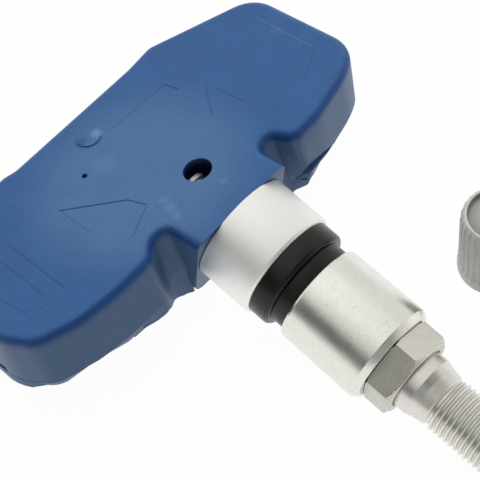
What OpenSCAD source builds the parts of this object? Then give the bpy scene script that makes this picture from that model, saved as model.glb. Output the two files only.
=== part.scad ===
// Tyre pressure sensor of the clamp-in kind: a flat two-lobed housing with its electronics,
// and an aluminium valve that leaves the housing's front tongue and passes through the wheel rim.
// The housing is drawn level, with its top face at z = 0 and the valve towards -y, and is then
// turned as one piece into the pose in which the sensor lies on a table.
// The origin is on the valve's axis, at the rubber face that seats against the rim.

/* [Housing] */
// Reach of the short lobe from the valve's centre plane
short_lobe = 28.8; // [26:0.1:34]
// Reach of the long lobe from the valve's centre plane
long_lobe = 33.2; // [31:0.1:38]
// Distance of the back wall behind the port hole
back_reach = 22.9; // [21.5:0.1:26]
// How far the lobes' back corners stand out past the back wall
back_bump = 0.5; // [0.2:0.1:1.5]
// Height of the lobes, with the base cover
body_h = 9.6; // [9.2:0.1:12]
// Height of the tongue block under the valve
tongue_h = 13.9; // [13.2:0.1:15]
// Width of the tongue
tongue_w = 16.2; // [15:0.1:18]
// Thickness of the side walls
wall = 1.6; // [1.2:0.1:2]
// Thickness of the roof over the electronics
roof = 1.8; // [1.4:0.1:2.2]
// Round on the housing's top edges
top_round = 1.2; // [0.6:0.1:1.5]
// Diameter of the port hole through which the tyre is filled
port_d = 4; // [3:0.1:4.4]
// Place of the port hole beside the valve's centre plane
port_x = 1; // [0:0.1:1.2]
// Diameter of the vent over the pressure sensor
vent_d = 0.8; // [0.5:0.1:1.2]

/* [Base cover] */
// Thickness of the base cover
cover_t = 1.1; // [0.9:0.1:1.5]
// Height of the cover's locating rim inside the walls
rim_h = 0.8; // [0.4:0.1:1.2]
// Width of the snap tabs at the cover's ends
tab_w = 4; // [3:0.5:6]
// Thickness of the pad under the middle of the cover
pad_t = 0.8; // [0.4:0.1:1.2]

/* [Electronics] */
// Diameter of the button cell
cell_d = 20; // [18:0.1:20.2]
// Thickness of the button cell
cell_t = 5; // [4:0.1:5.2]
// Thickness of the circuit board
board_t = 1; // [0.8:0.1:1.2]
// Thickness of the sheet metal tabs
strip_t = 0.2; // [0.15:0.05:0.3]

/* [Valve] */
// Angle between the housing's top face and the valve
valve_dip = 24; // [22:0.5:26]
// Depth of the valve's axis under the top face, at the tongue's face
axis_depth = 6.1; // [5.9:0.1:6.6]
// Distance in front of the port hole at which the axis meets the tongue's face
axis_reach = 6.8; // [6.5:0.1:7.5]
// Diameter of the collar
collar_d = 15.5; // [14.8:0.1:15.8]
// Length of the collar
collar_l = 8.35; // [7:0.05:10]
// Diameter of the rubber flange
flange_d = 14.6; // [14:0.1:15]
// Thickness of the rubber flange
flange_t = 3.3; // [2.6:0.1:4]
// Diameter of the rubber neck that fills the rim hole
neck_d = 12.6; // [11.8:0.1:12.8]
// Length of the rubber neck
neck_l = 3.9; // [3.5:0.1:4.2]
// Free length between the rubber flange and the clamp sleeve
rim_gap = 1.85; // [1.5:0.05:2.5]
// Diameter of the clamp sleeve at its mouth
sleeve_d = 14; // [13.8:0.1:14.6]
// Diameter of the clamp sleeve at its nut end
sleeve_end_d = 14.3; // [14.1:0.1:14.8]
// Length of the clamp sleeve
sleeve_l = 12.9; // [11:0.05:15]
// Width of the nut across its flats
nut_af = 11; // [10.6:0.1:11.4]
// Height of the nut
nut_h = 3.9; // [3.8:0.1:5.4]
// Turn of the nut about the valve's axis, as it lies
nut_turn = 35; // [0:1:59]
// Diameter of the stem's thread for the nut
nut_thread_d = 9; // [8.8:0.1:9.4]
// Lead of the thread for the nut
nut_lead = 1; // [0.75:0.05:1.25]
// Travel of the nut towards the valve's tip
nut_travel = 3; // [1:0.5:3]
// Diameter of the smooth stem beyond the nut
shank_d = 8.64; // [8.2:0.02:8.7]
// Length of smooth stem that shows beyond the nut
shank_l = 1.65; // [1:0.05:3]
// Length of the cone down to the cap thread
cone_l = 1; // [0.6:0.1:2]
// Outer diameter of the cap thread
cap_thread_d = 7.7; // [7.6:0.05:7.75]
// Diameter of the tapered neck before the cap thread, at its wide end
relief_d = 8.04; // [7.9:0.02:8.2]
// Length of the neck before the cap thread
relief_l = 1.7; // [0.8:0.1:3]
// Distance between the cap thread's ridges
thread_pitch = 0.8; // [0.7:0.01:1]
// Depth of the cap thread
thread_depth = 0.42; // [0.3:0.02:0.48]
// Length of the cap thread, with the chamfer at the tip
cap_thread_l = 13.8; // [11:0.5:18]
// Chamfer at the tip
tip_chamfer = 0.6; // [0.3:0.1:0.9]
// Diameter of the shank in the housing
root_d = 4.8; // [4.4:0.1:5.2]
// Length of the shank in the housing
root_l = 5; // [4:0.1:5.4]
// Diameter of the stem's inner end, which shows in the port hole
spigot_d = 3; // [2.6:0.1:3.4]
// Length of the stem behind the tongue's face
stem_back = 8.1; // [7.6:0.1:8.4]
// Diameter of the air passage in the stem
air_d = 1.6; // [1.2:0.1:2]

/* [Valve core] */
// Outer diameter of the core's screwed plug
core_d = 5.2; // [4.8:0.1:5.4]
// Length of the core's screwed plug
core_head_l = 5; // [4:0.1:6]
// Depth of the core below the stem's tip
core_sink = 1.2; // [0.8:0.1:2]
// Diameter of the core's pin
pin_d = 1.1; // [0.9:0.05:1.3]
// Opening travel of the pin
pin_travel = 1.2; // [0.5:0.1:1.5]
// Wire of the core's spring
spring_wire = 0.3; // [0.2:0.05:0.35]

/* [Valve cap] */
// Diameter of the cap over its ribs at the open end
cap_d = 9.7; // [9.5:0.1:11]
// Height of the cap
cap_h = 12.8; // [11:0.1:15]
// Number of ribs round the cap
cap_ribs = 28; // [16:1:36]
// Place of the cap on the table, to the right of the valve
cap_x = 22.1; // [18:0.1:45]
// Place of the cap on the table, towards the valve's tip
cap_y = -13; // [-40:0.1:-8]

/* [Fits] */
// Clearance round pieces that are set into the housing
fit_gap = 0.15; // [0.1:0.05:0.25]
// Clearance of the sleeve and the nut on the stem
run_gap = 0.06; // [0.05:0.01:0.1]

/* [Hidden] */
$fn = 48;
eps = 0.01;

// Places along the valve's axis, counted from the tongue's face
flange_end = collar_l + flange_t;
neck_end = flange_end + neck_l;
sleeve_start = flange_end + rim_gap;
sleeve_end = sleeve_start + sleeve_l;
nut_start = sleeve_end + run_gap;
nut_end = nut_start + nut_h;
shank_end = nut_end + shank_l;
cone_end = shank_end + cone_l;
thread_start = cone_end + relief_l;
tip = thread_start + cap_thread_l;
ridges = floor((cap_thread_l - tip_chamfer) / thread_pitch);
first_ridge = thread_start + thread_pitch / 2;

// The sleeve hides the end of the rubber neck in a cup
cup_d = neck_d + 0.4;
cup_depth = neck_end - sleeve_start + nut_lead + 0.2;
sleeve_chamfer = 0.35;
sleeve_face_d = nut_af / cos(30) + 0.2;
sleeve_face_drop = 0.95;
nut_chamfer = 0.55;
nut_thread_end = nut_end - 0.35;

// The valve core sits in a stepped bore at the stem's tip
core_top = tip - core_sink;
core_thread_end = core_top - core_head_l;
core_waist_d = 3.8;
core_waist_l = 6;
core_bottom = core_thread_end - core_waist_l;
chamber_d = core_d - 0.6;
poppet_t = 0.6;
seal_t = 0.5;
chamber_end = core_bottom - seal_t - poppet_t - pin_travel - 1.6;
pin_gap = 0.07;
pin_top = core_top + 0.7;
pin_head_t = 0.6;
pin_head_d = 2.6;
spring_seat = core_top - 4;
spring_well_d = 3.5;
spring_turns = 5;

// The stem's inner end lies in a chamber that the port hole opens
insert_d = 6.4;
insert_l = 4.3;
insert_sink = 1.1;
chamber_gap = 0.4;
groove_mid_d = 10;
ring_d = 1;

// Heights inside the housing, down from the top face
cover_top = -(body_h - cover_t);
strip_z = -(body_h - cover_t) + 0.95;
cell_z = strip_z + strip_t;
board_z = cell_z;
board_top = board_z + board_t;

// Places of the pieces on the board, as [x, y]
cell_at = [-(long_lobe - wall - cell_d / 2 - 0.7), back_reach - wall - cell_d / 2 - 3.3];
vent_at = [-8.1, 12.9];
disc_at = [-3, 17.6];
chip_at = [1.5, 13];
radio_at = [9.5, 11];
crystal_at = [9.5, 16.5];
coil_at = [20, 12.5];
switch_at = [20, 5];
parts_y = 18.6;
block_w = 11.2;
block_back = 3.6;

// Height of the table under the origin, and the tilt at which the housing's back edge and the
// sleeve's rim, or the stem's tip, touch it together
back_foot = [back_reach + back_bump - 0.3, -body_h];
function axis_point(s, drop) = [
    -axis_reach - s * cos(valve_dip) + drop * sin(valve_dip),
    -axis_depth - s * sin(valve_dip) - drop * cos(valve_dip)
];
nut_corner = nut_af / 2 / cos(30) - 0.35;
feet = [
    axis_point(sleeve_end - sleeve_face_drop, sleeve_end_d / 2),
    axis_point(nut_end - nut_chamfer, nut_corner),
    axis_point(tip - tip_chamfer, cap_thread_d / 2)
];
function foot_angle(p) = atan2(back_foot[1] - p[1], back_foot[0] - p[0]);
tilt = max([for (p = feet) foot_angle(p)]);
seat_y = -axis_reach - flange_end * cos(valve_dip);
seat_z = -axis_depth - flange_end * sin(valve_dip);
table_z = (back_foot[0] - seat_y) * -sin(tilt) + (back_foot[1] - seat_z) * cos(tilt);

// Placing
module lay_down()
    rotate([-tilt, 0, 0]) translate([0, -seat_y, -seat_z]) children();

module on_valve()
    lay_down() translate([0, -axis_reach, -axis_depth]) rotate([90 + valve_dip, 0, 0]) children();

module on_table()
    translate([cap_x, cap_y, table_z]) children();

// Plain shapes
module tube(outer_d, inner_d, from, to)
    difference() {
        translate([0, 0, from]) cylinder(d = outer_d, h = to - from);
        translate([0, 0, from - eps]) cylinder(d = inner_d, h = to - from + 2 * eps);
    }

module turned(profile)
    rotate_extrude() polygon(profile);

module block(at, size, z)
    translate([at[0] - size[0] / 2, at[1] - size[1] / 2, z]) cube(size);

// Outline of the housing seen from above, with the valve towards -y, as corners
// [x, y, radius, draft of the wall at its foot, draft of the cover at its foot]
back_corner = back_reach + back_bump;
corners = [
    [9, back_reach, 5, 0.1, 0.3],
    [-12.6, back_reach, 3, 0.1, 0.3],
    [-14.4, back_corner, 2, 0.1, 0.3],
    [-17.2, back_corner, 2.2, 0.1, 0.3],
    [-long_lobe, back_reach - 7.8, 4, 0.1, 0.2],
    [-long_lobe, 2.4, 8, -0.3, -0.4],
    [2.2 - long_lobe, -2.4, 4, -0.2, 0.3],
    [8.2 - long_lobe, -4.8, 12, 0, 1],
    [-19, -5.5, 20, 0, 0.4],
    [-13.2, -5.3, 3, 0, 0],
    [-10.8, -3, 2, 0, 0],
    [-tongue_w / 2, -3.2, 1.5, 0, 0],
    [-tongue_w / 2, -14, 0, 0, 0],
    [tongue_w / 2, -14, 0, 0, 0],
    [tongue_w / 2, -4, 1.5, 0, 0],
    [10.8, -3.9, 1.1, 0, 0],
    [12.3, -7.2, 1.8, 0.6, 0.9],
    [17, -7, 10, 0.9, 1.6],
    [23.8, -5.2, 10, 1.1, 1.6],
    [short_lobe, -2.6, 6, 1.1, 1.5],
    [short_lobe, back_reach - 6, 5, 1, 1.2],
    [13.6, back_corner, 2.4, 0.1, 0.3]
];

function unit(v) = v / norm(v);

function arc_count(turn) = max(1, ceil(abs(turn) / 10));

// A corner's arc, from the edge that comes from a to the edge that goes to b
function corner_arc(a, p, b, r) =
    let (
        u = unit(a - p),
        w = unit(b - p),
        half = acos(u * w) / 2,
        middle = p + unit(u + w) * r / sin(half),
        first = p + u * r / tan(half) - middle,
        start = atan2(first[1], first[0]),
        turn = (180 - 2 * half) * sign(cross(u, w)) * -1,
        count = arc_count(turn)
    )
    r == 0 ? [p] : [for (i = [0:count]) middle + r * [cos(start + turn * i / count), sin(start + turn * i / count)]];

function flat(p) = [p[0], p[1]];

// Every point of the outline, with the drafts of the corner it belongs to
function rounded(list) =
    let (n = len(list))
    [
        for (i = [0:n - 1])
            for (p = corner_arc(flat(list[(i + n - 1) % n]), flat(list[i]), flat(list[(i + 1) % n]), list[i][2]))
                [p[0], p[1], list[i][3], list[i][4]]
    ];

outline = rounded(corners);
outline_size = len(outline);

function edge_out(i) =
    let (e = unit(flat(outline[(i + 1) % outline_size]) - flat(outline[i])))
    [e[1], -e[0]];

// Each point's way outwards, so that every edge moves out by one
ways = [
    for (i = [0:outline_size - 1])
        let (before = edge_out((i + outline_size - 1) % outline_size), after = edge_out(i))
        (before + after) / (1 + before * after)
];

// The outline at a height, moved in evenly and by shares of the two drafts
function ring_points(z, even, foot_share, cover_share) = [
    for (i = [0:outline_size - 1])
        let (inset = even + foot_share * outline[i][2] + cover_share * outline[i][3])
        [outline[i][0] - inset * ways[i][0], outline[i][1] - inset * ways[i][1], z]
];

module rounded_polygon(list)
    polygon([for (p = rounded(list)) flat(p)]);

module housing_outline()
    rounded_polygon(corners);

// A solid with one ring of the outline's points at each level, lowest first
module lofted(rings) {
    n = outline_size;
    top = len(rings) - 1;
    skin = [
        for (k = [0:top - 1])
            for (i = [0:n - 1])
                let (a = k * n + i, b = k * n + (i + 1) % n)
                each [[a, a + n, b], [b, a + n, b + n]]
    ];
    bottom_face = [for (i = [0:n - 1]) i];
    top_face = [for (i = [n - 1:-1:0]) top * n + i];
    polyhedron(points = [for (r = rings) each r], faces = concat([bottom_face], skin, [top_face]), convexity = 6);
}

module rounded_body()
    difference() {
        lofted(concat(
            [ring_points(cover_top - 1, 0, 1, 0)],
            [for (a = [0:15:90]) ring_points(top_round * (sin(a) - 1), top_round * (1 - cos(a)), 0, 0)]
        ));
        translate([-60, -60, cover_top - 20]) cube([120, 120, 20]);
    }

// The deep block under the tongue, sloped at its back and rounded along its lower edges
module tongue_block()
    intersection() {
        rotate([90, 0, 90]) translate([0, 0, -tongue_w / 2])
            linear_extrude(height = tongue_w) polygon([
                [-12, -top_round - 0.5],
                [2, -top_round - 0.5],
                [6, cover_top],
                [6, -body_h],
                [1.5, -tongue_h],
                [-12, -tongue_h]
            ]);
        translate([0, 10, 0]) rotate([90, 0, 0]) linear_extrude(height = 30)
            rounded_polygon([
                [-tongue_w / 2, 5, 0],
                [-tongue_w / 2, -tongue_h, 1.6],
                [tongue_w / 2, -tongue_h, 1.6],
                [tongue_w / 2, 5, 0]
            ]);
    }

// The walls keep their thickness at the foot, where the draft is largest
module cavity_outline(gap)
    offset(delta = -(wall + gap)) difference() {
        intersection() {
            housing_outline();
            polygon([for (p = ring_points(0, 0, 1, 0)) flat(p)]);
        }
        translate([-tongue_w / 2 - 1, -20]) square([tongue_w + 2, 17]);
    }

module valve_block_outline(gap)
    translate([-block_w / 2 - gap, -12]) square([block_w + 2 * gap, 12 + block_back + gap]);

// Windows for the snap tabs at both ends, and the tabs themselves
module end_block(deep, gap, from, to)
    for (side = [-1, 1]) {
        end = side < 0 ? long_lobe : short_lobe;
        reach = side < 0 ? deep[0] : deep[1];
        translate([side * end - (side < 0 ? -reach : wall + 0.3), 6.5 - tab_w / 2 - gap, from])
            cube([wall + 0.3 - reach, tab_w + 2 * gap, to - from]);
    }

module housing()
    color([0.25, 0.41, 0.62]) lay_down() difference() {
        union() {
            difference() {
                union() {
                    rounded_body();
                    tongue_block();
                }
                // The tongue's face stands square to the valve
                translate([0, -axis_reach, -axis_depth]) rotate([90 + valve_dip, 0, 0])
                    translate([-20, -20, 0]) cube([40, 40, 20]);
                translate([0, 0, cover_top - 0.3])
                    linear_extrude(height = 0.3 - roof - cover_top) difference() {
                        cavity_outline(0);
                        valve_block_outline(0);
                    }
            }
            translate([disc_at[0], disc_at[1], -0.5]) cylinder(d = 3.4, h = 0.7);
        }
        translate([port_x, 0, -5]) cylinder(d = port_d, h = 6);
        translate([vent_at[0], vent_at[1], -3]) cylinder(d = vent_d, h = 4);
        translate([0, -axis_reach, -axis_depth]) rotate([90 + valve_dip, 0, 0]) {
            translate([0, 0, -stem_back - 0.8]) cylinder(d = spigot_d + 2 * chamber_gap, h = stem_back);
            translate([0, 0, -insert_sink - insert_l]) cylinder(d = insert_d, h = insert_l);
            translate([0, 0, -root_l - fit_gap]) cylinder(d = root_d + 2 * fit_gap, h = root_l + 1);
            tube(groove_mid_d + 1.4 * ring_d, groove_mid_d - 1.4 * ring_d, -ring_d, 1);
        }
        end_block([-1, -1], fit_gap, cover_top - 1, cover_top + 1.1);
    }

// The floor's middle deepens on both sides of the tongue and meets the block under it
module keel()
    intersection() {
        translate([0, 13, 0]) rotate([90, 0, 0]) linear_extrude(height = 30) polygon([
            [-17.8, 0.3 - body_h],
            [-17.8, 0.1 - body_h],
            [-15.5, 0.05 - body_h - pad_t],
            [-13.2, -body_h - pad_t - 0.35],
            [-11.6, -tongue_h + 2],
            [-9.6, -tongue_h + 0.8],
            [-tongue_w / 2, -tongue_h + 0.5],
            [tongue_w / 2, -tongue_h + 0.5],
            [9.6, -tongue_h + 0.9],
            [10.9, -tongue_h + 1.8],
            [12.3, -body_h - 0.3],
            [12.3, 0.3 - body_h]
        ]);
        rotate([90, 0, 90]) translate([0, 0, -30]) linear_extrude(height = 60) polygon([
            [-20, 0.3 - body_h],
            [-20, -tongue_h],
            [1.5, -tongue_h],
            [6, -body_h - 0.2],
            [6, 0.3 - body_h]
        ]);
        translate([0, 0, -20]) linear_extrude(height = 20) offset(delta = -0.2) housing_outline();
    }

// Snap-in floor, chamfered under the lobes, with a pad under the middle
module base_cover()
    color([0.22, 0.37, 0.58]) lay_down() {
        difference() {
            union() {
                lofted([ring_points(-body_h, 0, 0, 1), ring_points(cover_top, 0, 1, 0)]);
                translate([0, 0, -body_h - pad_t]) linear_extrude(height = pad_t + 0.3) intersection() {
                    offset(delta = -0.9) housing_outline();
                    translate([-19.2, -20]) square([30.9, 33]);
                }
                keel();
            }
            translate([-tongue_w / 2 - 2 * fit_gap, -30, -body_h - 5]) cube([tongue_w + 4 * fit_gap, 36.3, 10]);
        }
        translate([0, 0, cover_top - eps]) linear_extrude(height = rim_h) difference() {
            cavity_outline(fit_gap);
            cavity_outline(fit_gap + 0.9);
            valve_block_outline(1);
        }
        end_block([0.4, 0.9], 0, cover_top - eps, cover_top + 0.9);
    }

// Hardened resin that beds the board and the cell on the cover
module potting_bed()
    color([0.15, 0.15, 0.16]) lay_down()
        translate([0, 0, cover_top]) linear_extrude(height = strip_z - cover_top) difference() {
            cavity_outline(fit_gap + 1.1);
            valve_block_outline(0.3);
        }

module board_outline()
    difference() {
        intersection() {
            cavity_outline(0.3);
            translate([-14, -10]) square([60, 50]);
        }
        translate(cell_at) circle(d = cell_d + 0.8);
        valve_block_outline(0.3);
    }

module circuit_board()
    color([0.1, 0.35, 0.2]) lay_down()
        translate([0, 0, board_z]) linear_extrude(height = board_t) board_outline();

module pressure_sensor()
    color([0.2, 0.2, 0.22]) lay_down() difference() {
        union() {
            block(vent_at, [3, 3, 1.1], board_top);
            translate([vent_at[0], vent_at[1], board_top]) cylinder(d = 1.8, h = 1.5);
        }
        translate([vent_at[0], vent_at[1], board_top + 0.5]) cylinder(d = vent_d, h = 2);
    }

// Silicone tube that leads the tyre's air from the vent to the sensor only
module sensor_port_seal()
    color([0.75, 0.75, 0.72]) lay_down() translate([vent_at[0], vent_at[1], 0])
        difference() {
            tube(3, vent_d + 0.2, board_top + 1.1, -roof);
            translate([0, 0, board_top]) cylinder(d = 1.8, h = 1.5);
        }

module control_chip()
    color([0.12, 0.12, 0.13]) lay_down() {
        block(chip_at, [6, 6, 1.2], board_top + 0.1);
        for (side = [-1, 1])
            for (pin = [-2:1:2])
                block([chip_at[0] + side * 3.4, chip_at[1] + pin], [0.9, 0.4, 0.3], board_top);
    }

module transmitter_chip()
    color([0.14, 0.14, 0.15]) lay_down() {
        block(radio_at, [4, 4, 0.9], board_top + 0.1);
        for (side = [-1, 1])
            for (pin = [-1.2:0.8:1.2])
                block([radio_at[0] + pin, radio_at[1] + side * 2.3], [0.35, 0.7, 0.25], board_top);
    }

module crystal_can()
    color([0.8, 0.8, 0.78]) lay_down() translate([0, 0, board_top])
        linear_extrude(height = 1) translate(crystal_at) hull()
            for (side = [-1, 1])
                translate([side * 1.1, 0]) circle(r = 1.3);

module wake_coil_core()
    color([0.2, 0.19, 0.18]) lay_down() {
        for (side = [-1, 1])
            block([coil_at[0] + side * 3.2, coil_at[1]], [1, 3, 2.8], board_top);
        block(coil_at, [5.6, 1.4, 1.2], board_top + 0.8);
    }

module wake_coil_winding()
    color([0.72, 0.42, 0.2]) lay_down() difference() {
        block(coil_at, [5.2, 2.2, 2], board_top + 0.4);
        block(coil_at, [6, 1.4, 1.2], board_top + 0.8);
    }

module motion_switch()
    color([0.78, 0.74, 0.6]) lay_down() translate([switch_at[0], switch_at[1], board_top + 1.4]) {
        rotate([0, 90, 0]) cylinder(d = 2.8, h = 6, center = true);
        for (side = [-1, 1])
            translate([side * 3.6, 0, -0.65]) cube([1.2, 0.5, 1.5], center = true);
    }

// A flat copper strip stands on edge round the board's free end
module antenna_loop()
    color([0.76, 0.46, 0.24]) lay_down() translate([0, 0, board_top])
        linear_extrude(height = 2.6) intersection() {
            difference() {
                cavity_outline(0.9);
                cavity_outline(0.9 + 2 * strip_t);
            }
            translate([14, -8]) square([20, back_reach + 4]);
        }

module capacitors()
    color([0.62, 0.5, 0.36]) lay_down() {
        for (i = [0:5])
            block([-4.5 + 2.1 * i, parts_y], [0.8, 1.6, 0.8], board_top);
        for (i = [0:2])
            block([8 + 2.1 * i, 5], [1.6, 0.8, 0.6], board_top);
    }

module battery_cell()
    color([0.8, 0.8, 0.8]) lay_down() translate([cell_at[0], cell_at[1], cell_z]) turned([
        [0, 0],
        [cell_d / 2 - 1.6, 0],
        [cell_d / 2 - 1.4, 0.5],
        [cell_d / 2 - 0.4, 0.5],
        [cell_d / 2, 0.9],
        [cell_d / 2, cell_t - 0.4],
        [cell_d / 2 - 0.4, cell_t],
        [0, cell_t]
    ]);

module battery_tab_top()
    color([0.85, 0.84, 0.8]) lay_down() translate([0, 2.2, 0]) {
        translate([cell_at[0], 0, cell_z + cell_t]) cube([-cell_at[0] - 8, 3, strip_t]);
        translate([-8, 0, board_top]) cube([strip_t, 3, cell_z + cell_t + strip_t - board_top]);
    }

module battery_tab_bottom()
    color([0.85, 0.84, 0.8]) lay_down()
        translate([cell_at[0], 13.6, strip_z]) cube([-cell_at[0] - 6.5, 3, strip_t]);

// Brass bush moulded into the tongue, into which the stem is screwed
module threaded_insert()
    color([0.8, 0.65, 0.3]) on_valve() difference() {
        tube(insert_d, root_d, -insert_sink - insert_l, -insert_sink);
        for (i = [0:2])
            tube(insert_d + 1, insert_d - 0.5, -insert_sink - 1.3 * i - 1, -insert_sink - 1.3 * i - 0.6);
    }

module stem_seal()
    color([0.1, 0.1, 0.1]) on_valve() translate([0, 0, -ring_d / 2])
        rotate_extrude() translate([groove_mid_d / 2, 0]) circle(d = ring_d, $fn = 24);

// Profile of one ridge of the cap thread, with a narrow flat on its crest
function thread_ridge(s) = [
    [cap_thread_d / 2 - thread_depth, s - 0.44 * thread_pitch],
    [cap_thread_d / 2, s - 0.08 * thread_pitch],
    [cap_thread_d / 2, s + 0.08 * thread_pitch],
    [cap_thread_d / 2 - thread_depth, s + 0.44 * thread_pitch]
];

// One turned piece: inner spigot, collar, threaded stem and the tip with its stepped bore
module valve_stem()
    color([0.8, 0.8, 0.78]) on_valve() turned([
        [air_d / 2, -stem_back],
        [spigot_d / 2 - 0.2, -stem_back],
        [spigot_d / 2, -stem_back + 0.2],
        [spigot_d / 2, -root_l],
        [root_d / 2, -root_l],
        [root_d / 2, 0],
        [collar_d / 2 - 0.2, 0],
        [collar_d / 2, 0.2],
        [collar_d / 2, collar_l - 0.5],
        [collar_d / 2 - 0.15, collar_l - 0.15],
        [collar_d / 2 - 0.5, collar_l],
        [nut_thread_d / 2, collar_l],
        [nut_thread_d / 2, nut_thread_end],
        [shank_d / 2, nut_thread_end + 0.15],
        [shank_d / 2, shank_end],
        [relief_d / 2, cone_end],
        [relief_d / 2 - 0.25, thread_start],
        for (i = [0:ridges - 1]) each thread_ridge(first_ridge + i * thread_pitch),
        [cap_thread_d / 2 - thread_depth, tip - tip_chamfer + 0.1],
        [cap_thread_d / 2 - tip_chamfer, tip],
        [core_d / 2 + 0.35, tip],
        [core_d / 2 + 0.05, tip - 0.3],
        [core_d / 2 + 0.05, core_thread_end - 0.3],
        [chamber_d / 2, core_thread_end - 1.2],
        [chamber_d / 2, chamber_end],
        [air_d / 2, chamber_end - 1.2]
    ]);

module rubber_grommet()
    color([0.12, 0.12, 0.11]) on_valve() difference() {
        union() {
            translate([0, 0, collar_l]) rotate_extrude() union() {
                square([flange_d / 2 - 0.9, flange_t]);
                square([flange_d / 2, flange_t - 0.9]);
                translate([flange_d / 2 - 0.9, flange_t - 0.9]) circle(r = 0.9, $fn = 32);
            }
            translate([0, 0, flange_end]) cylinder(d1 = neck_d - 0.7, d2 = neck_d, h = 0.5);
            translate([0, 0, flange_end + 0.5]) cylinder(d = neck_d, h = neck_l - 1.1);
            translate([0, 0, neck_end - 0.6]) cylinder(d1 = neck_d, d2 = neck_d - 0.8, h = 0.6);
        }
        translate([0, 0, collar_l - 1]) cylinder(d = nut_thread_d + 0.1, h = flange_t + neck_l + 2);
    }

module clamp_sleeve()
    color([0.78, 0.78, 0.76]) on_valve() turned([
        [cup_d / 2, sleeve_start],
        [sleeve_d / 2 - sleeve_chamfer / 2, sleeve_start],
        [sleeve_d / 2, sleeve_start + sleeve_chamfer],
        [sleeve_end_d / 2, sleeve_end - sleeve_face_drop],
        [sleeve_face_d / 2, sleeve_end],
        [nut_thread_d / 2 + run_gap, sleeve_end],
        [nut_thread_d / 2 + run_gap, sleeve_start + cup_depth],
        [cup_d / 2, sleeve_start + cup_depth]
    ]);

module hex_nut()
    color([0.76, 0.76, 0.72]) on_valve() difference() {
        intersection() {
            translate([0, 0, nut_start]) rotate([0, 0, nut_turn])
                cylinder(d = nut_af / cos(30), h = nut_h, $fn = 6);
            turned([
                [0, nut_start],
                [nut_af / 2 + 0.45, nut_start],
                [nut_af / 2 / cos(30) + 0.1, nut_start + 0.4 * nut_chamfer],
                [nut_af / 2 / cos(30) + 0.1, nut_end - 1.2 * nut_chamfer],
                [nut_af / 2 - 0.1, nut_end],
                [0, nut_end]
            ]);
        }
        translate([0, 0, nut_start - 1]) cylinder(d = nut_thread_d + 2 * run_gap, h = nut_h + 2);
        translate([0, 0, nut_end - 0.4]) cylinder(d1 = nut_thread_d, d2 = nut_thread_d + 1, h = 0.5);
    }

module core_body()
    color([0.82, 0.68, 0.35]) on_valve() difference() {
        turned([
            [pin_d / 2 + pin_gap, core_bottom],
            [core_waist_d / 2 - 0.6, core_bottom],
            [core_waist_d / 2 - 0.4, core_bottom + 0.5],
            [core_waist_d / 2 - 0.4, core_thread_end - 2.2],
            [core_waist_d / 2 - 0.4, core_thread_end],
            [core_d / 2 - 0.3, core_thread_end],
            [core_d / 2, core_thread_end + 0.3],
            [core_d / 2, core_top - 1.6],
            [core_d / 2 - 0.3, core_top],
            [spring_well_d / 2, core_top],
            [spring_well_d / 2, spring_seat],
            [pin_d / 2 + pin_gap, spring_seat]
        ]);
        // Flats for the core key
        for (side = [-1, 1])
            translate([side * (core_d / 2 + 0.6), 0, core_top])
                cube([2, core_d + 1, 2 * (core_sink + 0.2)], center = true);
    }

module core_gasket()
    color([0.85, 0.2, 0.15]) on_valve()
        tube(chamber_d - 0.1, core_waist_d - 0.8, core_thread_end - 3.4, core_thread_end - 1.4);

function spring_point(turn, angle, mid_r, length) =
    let (a = 360 * turn, r = mid_r + spring_wire / 2 * cos(angle))
    [r * cos(a), r * sin(a), length * turn / spring_turns + spring_wire / 2 * sin(angle)];

// The coil is swept along a helix, with a ring of six points at each step
module core_spring() {
    steps = 14 * spring_turns;
    sides = 6;
    mid_r = pin_head_d / 2 - 0.15;
    length = pin_top - pin_head_t - spring_seat - spring_wire;
    points = [
        for (i = [0:steps])
            for (j = [0:sides - 1])
                spring_point(i / 14, 360 * j / sides, mid_r, length)
    ];
    skin = [
        for (i = [0:steps - 1])
            for (j = [0:sides - 1])
                [i * sides + j, i * sides + (j + 1) % sides,
                    (i + 1) * sides + (j + 1) % sides, (i + 1) * sides + j]
    ];
    first_end = [[for (j = [sides - 1:-1:0]) j]];
    last_end = [[for (j = [0:sides - 1]) steps * sides + j]];
    color([0.7, 0.7, 0.72]) on_valve() translate([0, 0, spring_seat + spring_wire / 2])
        polyhedron(points = points, faces = concat(skin, first_end, last_end), convexity = 8);
}

module core_pin()
    color([0.85, 0.72, 0.4]) on_valve() turned([
        [0, core_bottom - seal_t - poppet_t],
        [1.5, core_bottom - seal_t - poppet_t],
        [1.5, core_bottom - seal_t],
        [pin_d / 2, core_bottom - seal_t],
        [pin_d / 2, pin_top - pin_head_t],
        [pin_head_d / 2, pin_top - pin_head_t],
        [pin_head_d / 2, pin_top - 0.2],
        [pin_head_d / 2 - 0.25, pin_top],
        [0, pin_top]
    ]);

module core_seal()
    color([0.1, 0.1, 0.1]) on_valve() tube(3, pin_d, core_bottom - seal_t, core_bottom);

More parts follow.
